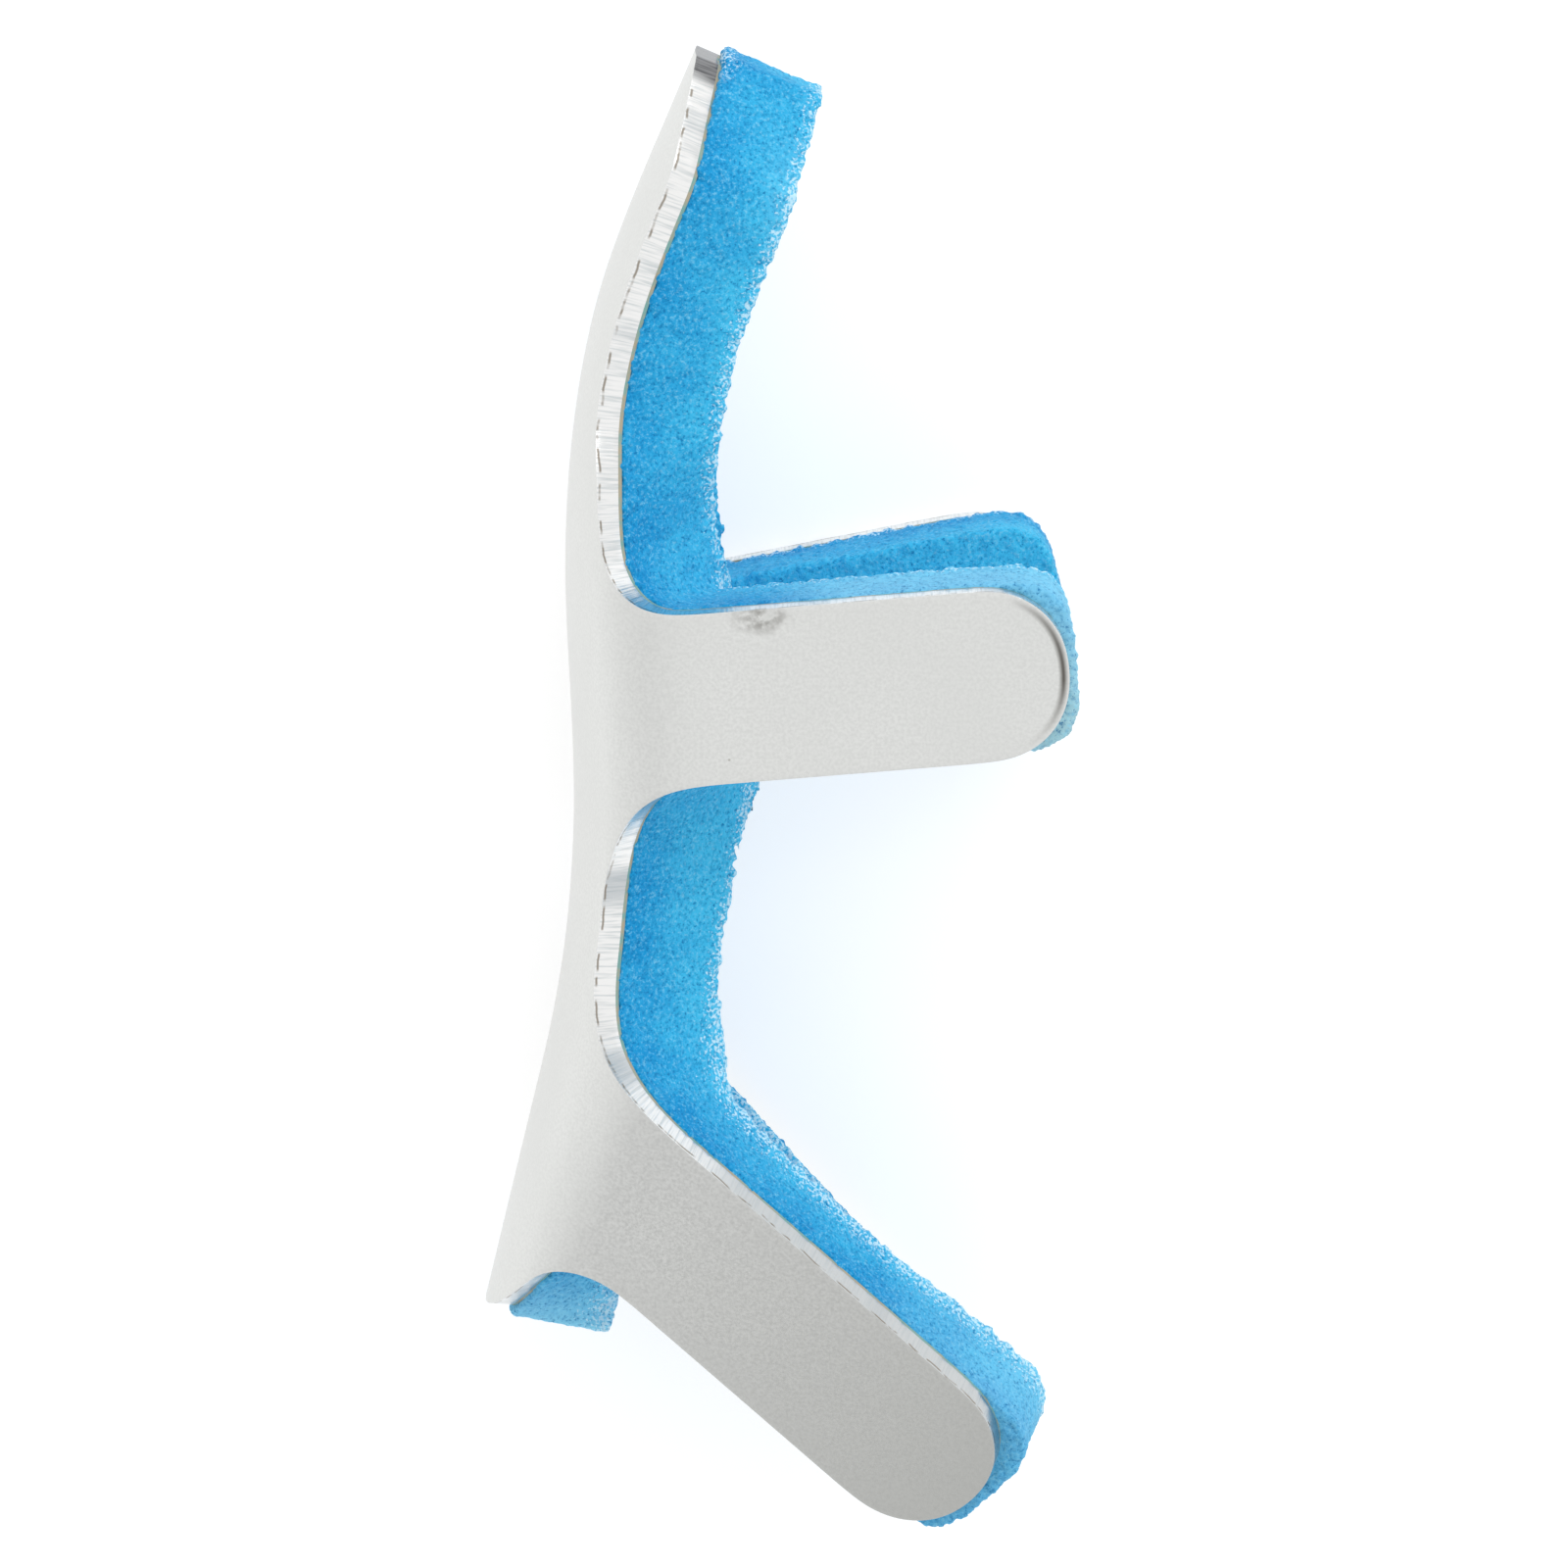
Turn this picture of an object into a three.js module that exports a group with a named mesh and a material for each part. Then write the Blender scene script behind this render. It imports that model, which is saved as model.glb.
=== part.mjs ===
// Finger splint with four prongs: one die-cut sheet of soft aluminium, bent into a gutter that wraps a
// finger, and a pad of open-cell foam of the same outline bonded inside it. Both pieces are meshed on
// the flat blank and then bent: every point is carried from the blank to the bent shape at its own
// depth under the outer face. Millimetres and degrees. The splint lies on its far side: +Y runs up the
// spine to the tip, +X is the way the arms reach round the finger, +Z points from the far side to the
// near side.
import * as THREE from "three";

// Sheet and pad
const sheetThickness = 1.4;
const foamThickness = 6.1;
const bondGap = 0.25; // room of the adhesive film between sheet and foam
const endOverhang = 0.6; // the pad stands this far past the sheet at the tip and the tail
const endOverhangFade = 8; // length of the spine over which that overhang comes in
const armOverhang = 0.4; // the pad stands this far past the rounded ends of the arms
const legOverhang = 1; // and this far past those of the legs
const foamSquareness = 0.55; // 1 rounds an end to a half circle, less makes it squarer
const metalSquareness = 0.92;

// Blank: the body, from tail to tip
const spineLength = 78;
const waistWidth = 21;
const tongueWidth = 17.2;
const tipFlatWidth = 5.8;
const tipCornerRadius = 4;
const tongueStart = 57; // above this the body is the narrower tongue
const tailRadius = 11.5;

// Blank: the pair of arms
const armStation = 39.5; // height of the arm's centre line where it leaves the waist
const armWidth = 10.2;
const armReach = 29.4; // from the waist's side to the arm's end
const armTopFillet = 6.7;
const armUnderFillet = 7.6;

// Blank: the pair of legs
const legStation = 13.6;
const legWidth = 10.7;
const legReach = 33.5;
const legSplay = 40.3; // the legs point this far below square to the spine
const legTopFillet = 7;
const crotchFillet = 5;

// Bends
const splintWidth = 25.6; // across the outer faces of the two arms
const gutterRadius = 28.8; // the body's shallow curve across the finger
const foamBendShare = 0.5; // a fold is rounded wider by this share of the depth, where the foam is squeezed
const legFoldStation = 14; // height at which the legs' folds cross the body
const armBendShare = 0.5; // the arms' folds are whole at this share of the height of the fillet under them
const tongueBendShare = 0.25; // and start to fade this share of the upper fillet's radius below its top

// Places in the blank where the pad is squeezed thicker by a fold, or worn thinner, each within an oval.
// Their ovals are shares of the waist's width and their heights shares of the foam's thickness.
const padSwells = [
  { across: 0.52, along: armStation, halfAcross: 0.38, halfAlong: 0.76, height: 0.2 },
  { across: 0.43, along: armStation + 0.8 * armTopFillet, halfAcross: 0.3, halfAlong: 0.3, height: 0.2 },
  { across: 0.62, along: 1.32 * legStation, halfAcross: 0.33, halfAlong: 0.43, height: 0.16 },
  { across: 0.76, along: armStation - 0.8 * armUnderFillet, halfAcross: 0.37, halfAlong: 0.3, height: 0.5 },
  { across: 0.5, along: armStation - 1.3 * armUnderFillet, halfAcross: 0.33, halfAlong: 0.46, height: 0.2 },
  { across: 1.33, along: 0.37 * legStation, halfAcross: 0.67, halfAlong: 0.76, height: -0.2 },
].map((row) => ({
  across: row.across * waistWidth,
  along: row.along,
  halfAcross: row.halfAcross * waistWidth,
  halfAlong: row.halfAlong * waistWidth,
  height: row.height * foamThickness,
}));

// How far the spine leans towards the finger, by share of its length from tail to tip.
const spineLean = [
  { share: 0.0, lean: 13.5 },
  { share: 0.2, lean: 13.5 },
  { share: 0.28, lean: 8 },
  { share: 0.37, lean: 3 },
  { share: 0.43, lean: -1.5 },
  { share: 0.53, lean: -3.5 },
  { share: 0.6, lean: 1 },
  { share: 0.68, lean: 6 },
  { share: 0.76, lean: 11.5 },
  { share: 0.84, lean: 20.5 },
  { share: 0.92, lean: 23.5 },
  { share: 1.0, lean: 23 },
];

// The two sides are bent by hand and differ a little: where the arm and the leg stand and how the arm
// rises in the blank, how far its fold is rounded to either side, and the place, skew, turn and
// rounding of the fold that sets the leg. The splint lies on its far side, so the arm and the leg there
// reach the same plane.
const sides = [
  {
    sign: 1, armLift: 0, armRise: 0.058 * armReach, armBendReach: 0.392 * armWidth, legLift: 0,
    legFoldHalfWidth: 0.5476 * waistWidth, legSkew: 21.7, legTurn: 58.9, legBendReach: 0.42 * legWidth,
  },
  {
    sign: -1, armLift: -0.255 * armWidth, armRise: 0.279 * armReach, armBendReach: 0.2745 * armWidth,
    legLift: 0.112 * legWidth, legFoldHalfWidth: 0.5905 * waistWidth, legSkew: 10, legTurn: 61,
    legBendReach: 0.28 * legWidth,
  },
];

// Mesh density
const bodyColumns = 5;
const rows = { legRoot: 8, waist: 3, armRoot: 8, tongue: 9, tip: 4 };
const limbStations = 13;
const endStations = 7;
const rootCrowding = 1.5; // stations of a limb stand closer together near its root, where it is bent
const filletSteps = 12;
const spineSteps = 400;
const weldDistance = 1e-4; // points of the blank closer than this are one

const rad = THREE.MathUtils.degToRad;
const smooth = THREE.MathUtils.smoothstep;
const lerp = THREE.MathUtils.lerp;
const blank = (across, along) => new THREE.Vector2(across, along);

// The spine's centre line, integrated from its lean, straight on past both ends.
function leanAt(along) {
  const share = THREE.MathUtils.clamp(along / spineLength, 0, 1);
  const next = Math.max(1, spineLean.findIndex((row) => row.share >= share));
  const low = spineLean[next - 1];
  const high = spineLean[next];
  return rad(lerp(low.lean, high.lean, (share - low.share) / (high.share - low.share)));
}

const spineStep = spineLength / spineSteps;
const spinePoints = [new THREE.Vector2(0, 0)];
for (let i = 0; i < spineSteps; i++) {
  const lean = leanAt((i + 0.5) * spineStep);
  const step = new THREE.Vector2(Math.sin(lean), Math.cos(lean)).multiplyScalar(spineStep);
  spinePoints.push(spinePoints[i].clone().add(step));
}

function spineAt(along) {
  const i = THREE.MathUtils.clamp(Math.floor(along / spineStep), 0, spineSteps - 1);
  return spinePoints[i].clone().lerp(spinePoints[i + 1], along / spineStep - i);
}

// A point of the body, a shallow gutter round the spine, at a depth under its outer face.
function bodyPoint(across, along, depth) {
  const lean = leanAt(along);
  const turn = across / gutterRadius;
  const inward = gutterRadius - (gutterRadius - depth) * Math.cos(turn);
  const spine = spineAt(along);
  return new THREE.Vector3(
    spine.x + inward * Math.cos(lean),
    spine.y - inward * Math.sin(lean),
    (gutterRadius - depth) * Math.sin(turn),
  );
}

// A fold of the sheet: the line in the blank about which a limb turns, and the limb's plane beyond it.
// The fold is rounded over its reach, and more widely at depth, where the inner layers would otherwise
// run together.
function makeFold(across, along, skew, turn, reach) {
  const pivot = blank(across, along);
  const lean = leanAt(along);
  const tilt = across / gutterRadius;
  const up = new THREE.Vector3(Math.sin(lean), Math.cos(lean), 0);
  const inner = new THREE.Vector3(Math.cos(lean), -Math.sin(lean), 0);
  const side = inner.clone().multiplyScalar(Math.sin(tilt)).setZ(Math.cos(tilt));
  const outward = inner.clone().multiplyScalar(-Math.cos(tilt)).setZ(Math.sin(tilt));
  const axis = up.clone().multiplyScalar(Math.cos(skew)).addScaledVector(side, Math.sin(skew));
  const crosswise = up.clone().multiplyScalar(-Math.sin(skew)).addScaledVector(side, Math.cos(skew));
  const beyond = crosswise.clone().multiplyScalar(Math.cos(turn)).addScaledVector(outward, -Math.sin(turn));
  const normal = crosswise.clone().multiplyScalar(Math.sin(turn)).addScaledVector(outward, Math.cos(turn));
  const origin = bodyPoint(across, along, 0);
  const alongAxis = blank(Math.sin(skew), Math.cos(skew));
  const acrossAxis = blank(Math.cos(skew), -Math.sin(skew));

  const onBody = (s, t, depth) => {
    const p = pivot.clone().addScaledVector(alongAxis, s).addScaledVector(acrossAxis, t);
    return bodyPoint(p.x, p.y, depth);
  };
  const onLimb = (s, t, depth) =>
    origin.clone().addScaledVector(axis, s).addScaledVector(beyond, t).addScaledVector(normal, -depth);

  return (point, depth) => {
    const offset = point.clone().sub(pivot);
    const s = offset.dot(alongAxis);
    const t = offset.dot(acrossAxis);
    const setback = depth * Math.tan(turn / 2);
    const after = reach + foamBendShare * depth;
    const middle = Math.max(0, (pivot.x + s * alongAxis.x) / acrossAxis.x);
    const before = Math.min(after, middle);
    if (t <= -before) return onBody(s, t, depth);
    if (t >= after) return onLimb(s, t, depth);
    const share = (before + t) / (before + after);
    const corner = onBody(s, -Math.min(setback, before), depth).lerp(onLimb(s, setback, depth), share);
    return onBody(s, -before, depth)
      .multiplyScalar((1 - share) ** 2)
      .addScaledVector(corner, 2 * share * (1 - share))
      .addScaledVector(onLimb(s, after, depth), share ** 2);
  };
}

const armFoldHalfWidth = gutterRadius * Math.asin(splintWidth / 2 / gutterRadius);
const armFoldTurn = Math.PI / 2 - armFoldHalfWidth / gutterRadius;

// Carries a point of the blank to the bent shape: legs at the tail, arms above the waist, a plain
// gutter at the tongue, with a smooth change from one to the next along the spine.
function makeBend(side, root) {
  const armFold = makeFold(armFoldHalfWidth, armStation, 0, armFoldTurn, side.armBendReach);
  const legFold = makeFold(
    side.legFoldHalfWidth, legFoldStation, rad(side.legSkew), rad(side.legTurn), side.legBendReach);
  return (point, depth) => {
    const armShare = smooth(point.y, root.legUnderTop, root.armUnderEnd);
    const tongueShare = smooth(point.y, root.armTopEnd, tongueStart);
    const plain = bodyPoint(Math.min(point.x, waistWidth), point.y, depth);
    const bent = legFold(point, depth).lerp(armFold(point, depth), armShare);
    bent.lerp(plain, tongueShare);
    bent.z *= side.sign;
    return bent;
  };
}

// Points of an arc that rounds the corner between two straight edges.
function roundCorner(before, corner, after, radius, steps = filletSteps) {
  const toBefore = before.clone().sub(corner).normalize();
  const toAfter = after.clone().sub(corner).normalize();
  const half = Math.acos(THREE.MathUtils.clamp(toBefore.dot(toAfter), -1, 1)) / 2;
  const bisector = toBefore.clone().add(toAfter).normalize();
  const centre = corner.clone().addScaledVector(bisector, radius / Math.sin(half));
  const start = corner.clone().addScaledVector(toBefore, radius / Math.tan(half)).sub(centre);
  const end = corner.clone().addScaledVector(toAfter, radius / Math.tan(half)).sub(centre);
  const turn = start.cross(end) < 0 ? 2 * half - Math.PI : Math.PI - 2 * half;
  return Array.from({ length: steps + 1 }, (_, i) =>
    start.clone().rotateAround(blank(0, 0), (turn * i) / steps).add(centre));
}

// A limb of the blank: its axis, edges, and rounded end.
function makeLimb(station, dip, width, reach) {
  const origin = blank(waistWidth / 2, station);
  const axis = blank(Math.cos(dip), -Math.sin(dip));
  const upper = blank(Math.sin(dip), Math.cos(dip));
  const half = width / 2;
  return {
    origin, axis, upper, half,
    endCentre: reach - half,
    at: (x, y) => origin.clone().addScaledVector(axis, x).addScaledVector(upper, y),
    stationOf: (p) => p.clone().sub(origin).dot(axis),
    sideCrossing: (y) => station + y / Math.cos(dip),
  };
}

// The fillet between the tail's round end and the leg's lower edge, from the tail outwards.
function crotchArc(leg) {
  const tailCentre = blank(0, tailRadius);
  const onLine = leg.at(0, -leg.half - crotchFillet);
  const toTail = onLine.clone().sub(tailCentre);
  const distance = tailRadius + crotchFillet;
  const middle = -toTail.dot(leg.axis);
  const spread = Math.sqrt(Math.max(0, middle ** 2 - toTail.lengthSq() + distance ** 2));
  const centre = onLine.addScaledVector(leg.axis, middle + spread);
  const start = tailCentre.clone().sub(centre).setLength(crotchFillet);
  const turn = start.angleTo(leg.upper);
  return Array.from({ length: filletSteps + 1 }, (_, i) =>
    start.clone().rotateAround(blank(0, 0), (-turn * i) / filletSteps).add(centre));
}

// The point of a limb's edge that stands at a station along its axis.
function pointAtStation(edge, limb, x) {
  const next = Math.max(1, edge.findIndex((p) => limb.stationOf(p) >= x - weldDistance));
  const low = limb.stationOf(edge[next - 1]);
  const high = limb.stationOf(edge[next]);
  return edge[next - 1].clone().lerp(edge[next], (x - low) / (high - low));
}

const spread = (from, to, count) =>
  Array.from({ length: count }, (_, i) => from.clone().lerp(to, (i + 1) / count));

// The edges of one half of the blank, and the side of its body from tail to tip, along which the limbs
// start.
function blankEdges(side) {
  const halfWaist = waistWidth / 2;
  const arm = makeLimb(armStation + side.armLift, rad(-side.armRise), armWidth, armReach);
  const leg = makeLimb(legStation + side.legLift, rad(legSplay), legWidth, legReach);

  const armTopCorner = blank(halfWaist, arm.sideCrossing(arm.half));
  const armUnderCorner = blank(halfWaist, arm.sideCrossing(-arm.half));
  const legTopCorner = blank(halfWaist, leg.sideCrossing(leg.half));
  const armTop = roundCorner(
    blank(halfWaist, spineLength), armTopCorner, arm.at(armReach, arm.half), armTopFillet);
  const armUnder = roundCorner(
    blank(halfWaist, 0), armUnderCorner, arm.at(armReach, -arm.half), armUnderFillet);
  const legTop = roundCorner(
    blank(halfWaist, spineLength), legTopCorner, leg.at(legReach, leg.half), legTopFillet);
  const crotch = crotchArc(leg);
  const shoulder = spineLength - (tongueWidth - tipFlatWidth) / 2;
  const tip = roundCorner(
    blank(tongueWidth / 2, 0), blank(tongueWidth / 2, shoulder), blank(tipFlatWidth / 2, spineLength),
    tipCornerRadius, rows.tip - 1);
  tip.push(blank(tipFlatWidth / 2, spineLength));

  const bodySide = [crotch[0]];
  bodySide.push(...spread(crotch[0], legTop[0], rows.legRoot));
  bodySide.push(...spread(legTop[0], armUnder[0], rows.waist));
  bodySide.push(...spread(armUnder[0], armTop[0], rows.armRoot));
  bodySide.push(...spread(armTop[0], tip[0], rows.tongue).map((p) => {
    const taper = smooth(p.y, armTop[0].y, tongueStart);
    return blank(lerp(halfWaist, tongueWidth / 2, taper), p.y);
  }));
  bodySide.push(...tip.slice(1));
  return { arm, leg, armTop, armUnder, legTop, crotch, bodySide };
}

// Meshes one half of the blank in the flat: a grid from the centre line to the side of the body, and a
// grid of cross lines along each limb that starts on the body's side. Both halves take the same points
// of the centre line.
function halfBlank(side, outline) {
  const { arm, leg, armTop, armUnder, legTop, crotch, bodySide } = blankEdges(side);
  const middle = blankEdges(sides[0]).bodySide.map((p) => p.y);
  const tailRise = tailRadius - Math.sqrt(tailRadius ** 2 - crotch[0].x ** 2);
  const tailShape = (share) =>
    (tailRadius - Math.sqrt(tailRadius ** 2 - (crotch[0].x * share) ** 2)) / tailRise;
  const bodyGrid = bodySide.map((p, i) => {
    const centre = spineLength * ((middle[i] - middle[0]) / (middle[middle.length - 1] - middle[0]));
    return Array.from({ length: bodyColumns + 1 }, (_, j) => {
      const share = j / bodyColumns;
      return blank(p.x * share, lerp(centre, p.y, tailShape(share)));
    });
  });

  const limbGrid = (limb, rootPoints, lowerEdge, upperEdge, overhang) => {
    const lower = [...lowerEdge, limb.at(limb.endCentre, -limb.half)];
    const upper = [...upperEdge, limb.at(limb.endCentre, limb.half)];
    const pairs = [];
    for (let k = 1; k <= limbStations; k++) {
      const share = (k / limbStations) ** rootCrowding;
      const x = (edge) => lerp(limb.stationOf(edge[0]), limb.endCentre, share);
      pairs.push([pointAtStation(lower, limb, x(lower)), pointAtStation(upper, limb, x(upper))]);
    }
    for (let k = 1; k <= endStations; k++) {
      const angle = (Math.PI / 2) * (k / endStations);
      const x = limb.endCentre + (limb.half + overhang) * Math.sin(angle) ** outline.squareness;
      const y = k === endStations ? 0 : limb.half * Math.cos(angle) ** outline.squareness;
      pairs.push([limb.at(x, -y), limb.at(x, y)]);
    }
    const shares = rootPoints.map((_, i) => i / (rootPoints.length - 1));
    const lines = pairs.map(([low, high]) => shares.map((share) => low.clone().lerp(high, share)));
    return [rootPoints, ...lines];
  };

  const armStart = rows.legRoot + rows.waist;
  const legRoot = bodySide.slice(0, rows.legRoot + 1);
  const armRoot = bodySide.slice(armStart, armStart + rows.armRoot + 1);
  return {
    grids: [
      bodyGrid,
      transpose(limbGrid(leg, legRoot, crotch, legTop, outline.legOverhang)),
      transpose(limbGrid(arm, armRoot, armUnder, armTop, outline.armOverhang)),
    ],
    root: {
      legUnderTop: legTop[legTop.length - 1].y,
      armUnderEnd: lerp(armUnder[0].y, armUnder[armUnder.length - 1].y, armBendShare),
      armTopEnd: armTop[0].y - armTopFillet * tongueBendShare,
    },
  };
}

// How much thicker the pad is at a point of the blank than it was cut.
function swellAt(p) {
  const heights = padSwells.map((spot) => {
    const away = Math.hypot((p.x - spot.across) / spot.halfAcross, (p.y - spot.along) / spot.halfAlong);
    return spot.height * (1 - smooth(away, 0, 1));
  });
  return heights.reduce((sum, height) => sum + height, 0);
}

// Carries the tip and the tail outwards along the spine, and leaves the rest of the blank in place.
function pastEnds(p, overhang) {
  const atTip = smooth(p.y, spineLength - endOverhangFade, spineLength);
  const atTail = 1 - smooth(p.y, 0, endOverhangFade);
  const onBody = 1 - smooth(p.x, tongueWidth / 2, waistWidth / 2 + crotchFillet);
  return blank(p.x, p.y + overhang * (atTip - atTail * onBody));
}

function transpose(grid) {
  return grid[0].map((_, i) => grid.map((line) => line[i]));
}

// A closed solid between two depths of the bent blank: its outer layer, its inner layer, and a wall
// wherever an edge of the blank belongs to one triangle only.
function bentLayer(outerDepth, innerDepth, outline) {
  const keys = new Map();
  const points = [];
  const triangles = [];

  for (const side of sides) {
    const { grids, root } = halfBlank(side, outline);
    const bend = makeBend(side, root);
    const vertex = (p) => {
      const key = [p.x * side.sign, p.y].map((v) => Math.round(v / weldDistance) + 0).join();
      if (!keys.has(key)) {
        const reach = pastEnds(p, outline.endOverhang);
        keys.set(key, points.length);
        points.push([bend(reach, outerDepth), bend(reach, innerDepth + outline.swell(p))]);
      }
      return keys.get(key);
    };
    const add = (...corners) => {
      const ids = corners.map(vertex);
      if (new Set(ids).size === 3) triangles.push(side.sign > 0 ? ids.reverse() : ids);
    };
    for (const grid of grids)
      for (let i = 0; i + 1 < grid.length; i++)
        for (let j = 0; j + 1 < grid[i].length; j++) {
          const [a, b, c, d] = [grid[i][j], grid[i][j + 1], grid[i + 1][j + 1], grid[i + 1][j]];
          add(a, b, c);
          add(a, c, d);
        }
  }

  const count = points.length;
  const index = [];
  const edges = new Set(triangles.flatMap(([a, b, c]) => [`${a},${b}`, `${b},${c}`, `${c},${a}`]));
  for (const [a, b, c] of triangles) {
    index.push(a, c, b, a + count, b + count, c + count);
    for (const [p, q] of [[a, b], [b, c], [c, a]])
      if (!edges.has(`${q},${p}`)) index.push(p, q, q + count, p, q + count, p + count);
  }

  const position = [...points.map((p) => p[0]), ...points.map((p) => p[1])].flatMap((p) => p.toArray());
  const geometry = new THREE.BufferGeometry();
  geometry.setAttribute("position", new THREE.Float32BufferAttribute(position, 3));
  geometry.setIndex(index);
  geometry.computeVertexNormals();
  return geometry;
}

// The aluminium sheet, satin rolled, with sheared edges.
function makeAluminiumShell() {
  const material = new THREE.MeshStandardMaterial({ color: 0xd9dada, roughness: 0.38, metalness: 1 });
  const outline = {
    squareness: metalSquareness, endOverhang: 0, armOverhang: 0, legOverhang: 0, swell: () => 0,
  };
  const mesh = new THREE.Mesh(bentLayer(0, sheetThickness, outline), material);
  mesh.name = "aluminium_shell";
  return mesh;
}

// The foam pad, bonded to the sheet's inner face and cut a little squarer at the ends of the prongs.
function makeFoamPad() {
  const outer = sheetThickness + bondGap;
  const material = new THREE.MeshStandardMaterial({ color: 0x2fa9dc, roughness: 0.95, metalness: 0 });
  const outline = {
    squareness: foamSquareness, endOverhang, armOverhang, legOverhang, swell: swellAt,
  };
  const mesh = new THREE.Mesh(bentLayer(outer, outer + foamThickness, outline), material);
  mesh.name = "foam_pad";
  return mesh;
}

// Laid down with the middle of its box over the origin.
const bent = new THREE.Group();
bent.add(makeAluminiumShell(), makeFoamPad());
const box = new THREE.Box3().setFromObject(bent, true);
const centre = box.getCenter(new THREE.Vector3());
bent.position.set(-centre.x, -centre.y, -box.min.z);

const splint = new THREE.Group();
splint.add(bent);

export default splint;
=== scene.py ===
"""Finger splint of soft aluminium sheet with a bonded foam pad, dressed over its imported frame."""

import math

import bmesh
import bpy
import numpy as np
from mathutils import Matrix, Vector, kdtree
from mathutils.bvhtree import BVHTree


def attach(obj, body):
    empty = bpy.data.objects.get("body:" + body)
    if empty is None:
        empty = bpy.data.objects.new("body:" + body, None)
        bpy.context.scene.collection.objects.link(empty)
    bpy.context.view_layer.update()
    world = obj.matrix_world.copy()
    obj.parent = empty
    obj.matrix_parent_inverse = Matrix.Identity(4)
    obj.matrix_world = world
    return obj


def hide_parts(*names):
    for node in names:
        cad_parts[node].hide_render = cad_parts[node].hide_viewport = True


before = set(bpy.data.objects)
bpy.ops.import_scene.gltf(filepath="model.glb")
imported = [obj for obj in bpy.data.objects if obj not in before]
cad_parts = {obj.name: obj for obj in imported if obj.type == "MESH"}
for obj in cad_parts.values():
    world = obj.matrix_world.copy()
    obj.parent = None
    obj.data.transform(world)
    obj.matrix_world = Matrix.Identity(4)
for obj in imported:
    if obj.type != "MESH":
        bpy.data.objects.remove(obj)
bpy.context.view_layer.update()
scene = bpy.context.scene
scene.view_settings.view_transform = "Standard"

# Camera of the photograph
# Half a metre off with a long lens, square to the side that lies upwards and raised a little towards the
# tip, so that the cut edges and the far arm's pad show above the near arm. The lens gives the 17 pixels
# to a millimetre that the photograph has at the splint's middle, on a picture 1600 pixels wide.
raised = math.radians(12)
look = Vector((0.00049, 0.00059, 0.0128))
lens = bpy.data.cameras.new("camera")
lens.lens = 191.25
lens.sensor_width = 36
camera = bpy.data.objects.new("camera", lens)
camera.location = look + 0.5 * Vector((0, math.sin(raised), math.cos(raised)))
camera.rotation_euler = (-raised, 0, 0)
scene.collection.objects.link(camera)
scene.camera = camera

# Aluminium sheet
# One blank of soft aluminium, 1.4 mm thick, die-cut with a spine, two arms and two legs and bent by hand.
# The faces keep the satin of the rolls and the cut edge shows the shear's striations and a broken burr.
sheet_sharp = math.radians(50)
sheet_rim = 0.00011
kink = Vector((-0.0009, 0.0131, 0.0252))
kink_reach = (0.0021, 0.0011, 0.003)
kink_depth = 0.00016
leg_way = (0.7, -0.7, 0)  # along the legs, towards their ends
middle_height = 0.0128  # of the spine's centre line above the floor
tip_height = 0.041  # how far up the spine the flat end of the tip begins
arm_end_ramps = (("X", 0.0135, 0.0168), ("Y", 0.0052, 0.0095), ("Z", 0.018, 0.022))


def linear(code):
    """A colour written as sRGB hex, as the linear RGBA that Blender's sockets take."""
    parts = [int(code[i:i + 2], 16) / 255 for i in (1, 3, 5)]
    return (*[p / 12.92 if p <= 0.04045 else ((p + 0.055) / 1.055) ** 2.4 for p in parts], 1)


def put(tree, kind, inputs=None, **settings):
    """Adds a node with its settings, and gives each input its value or its link."""
    node = tree.nodes.new(kind)
    for key, value in settings.items():
        setattr(node, key, value)
    for key, value in (inputs or {}).items():
        if isinstance(value, bpy.types.NodeSocket):
            tree.links.new(value, node.inputs[key])
        else:
            node.inputs[key].default_value = value
    return node


def blank_material(name):
    """A new material, its tree, its shader and its Object coordinates."""
    material = bpy.data.materials.new(name)
    material.use_nodes = True
    tree = material.node_tree
    place = put(tree, "ShaderNodeTexCoord").outputs["Object"]
    return material, tree, tree.nodes["Principled BSDF"], place


def cage(node, name, sharp):
    """A node's mesh as a new object: doubles merged, triangles paired to quads and sharp edges creased."""
    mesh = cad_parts[node].data.copy()
    edit = bmesh.new()
    edit.from_mesh(mesh)
    bmesh.ops.remove_doubles(edit, verts=edit.verts, dist=1e-6)
    bmesh.ops.join_triangles(
        edit, faces=edit.faces, angle_face_threshold=sharp, angle_shape_threshold=math.pi)
    creases = edit.edges.layers.float.new("crease_edge")
    for edge in edit.edges:
        edge[creases] = 1 if edge.calc_face_angle(0) > sharp else 0
    edit.to_mesh(mesh)
    edit.free()
    mesh.materials.clear()
    piece = bpy.data.objects.new(name, mesh)
    scene.collection.objects.link(piece)
    return piece


def rim_of(mesh, start):
    """The closed loop of creased edges through a vertex, as vertex indices in order."""
    crease = np.zeros(len(mesh.edges), np.float32)
    mesh.attributes["crease_edge"].data.foreach_get("value", crease)
    beside = {}
    for edge, sharp in zip(mesh.edges, crease):
        if sharp:
            a, b = edge.vertices
            beside.setdefault(a, []).append(b)
            beside.setdefault(b, []).append(a)
    loop = [start]
    while True:
        ahead = [v for v in beside[loop[-1]] if v not in loop[-2:]]
        if not ahead or (len(loop) > 2 and start in ahead):
            return loop
        loop.append(ahead[0])


def rounded_loop(points, rounds):
    """The curve that subdivision draws through a closed loop, and the length along it."""
    for _ in range(rounds):
        before, after = np.roll(points, 1, 0), np.roll(points, -1, 0)
        refined = np.empty((2 * len(points), 3))
        refined[0::2] = (before + 6 * points + after) / 8
        refined[1::2] = (points + after) / 2
        points = refined
    steps = np.linalg.norm(np.roll(points, -1, 0) - points, axis=1)
    return points, np.concatenate([[0], np.cumsum(steps)[:-1]])


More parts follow.
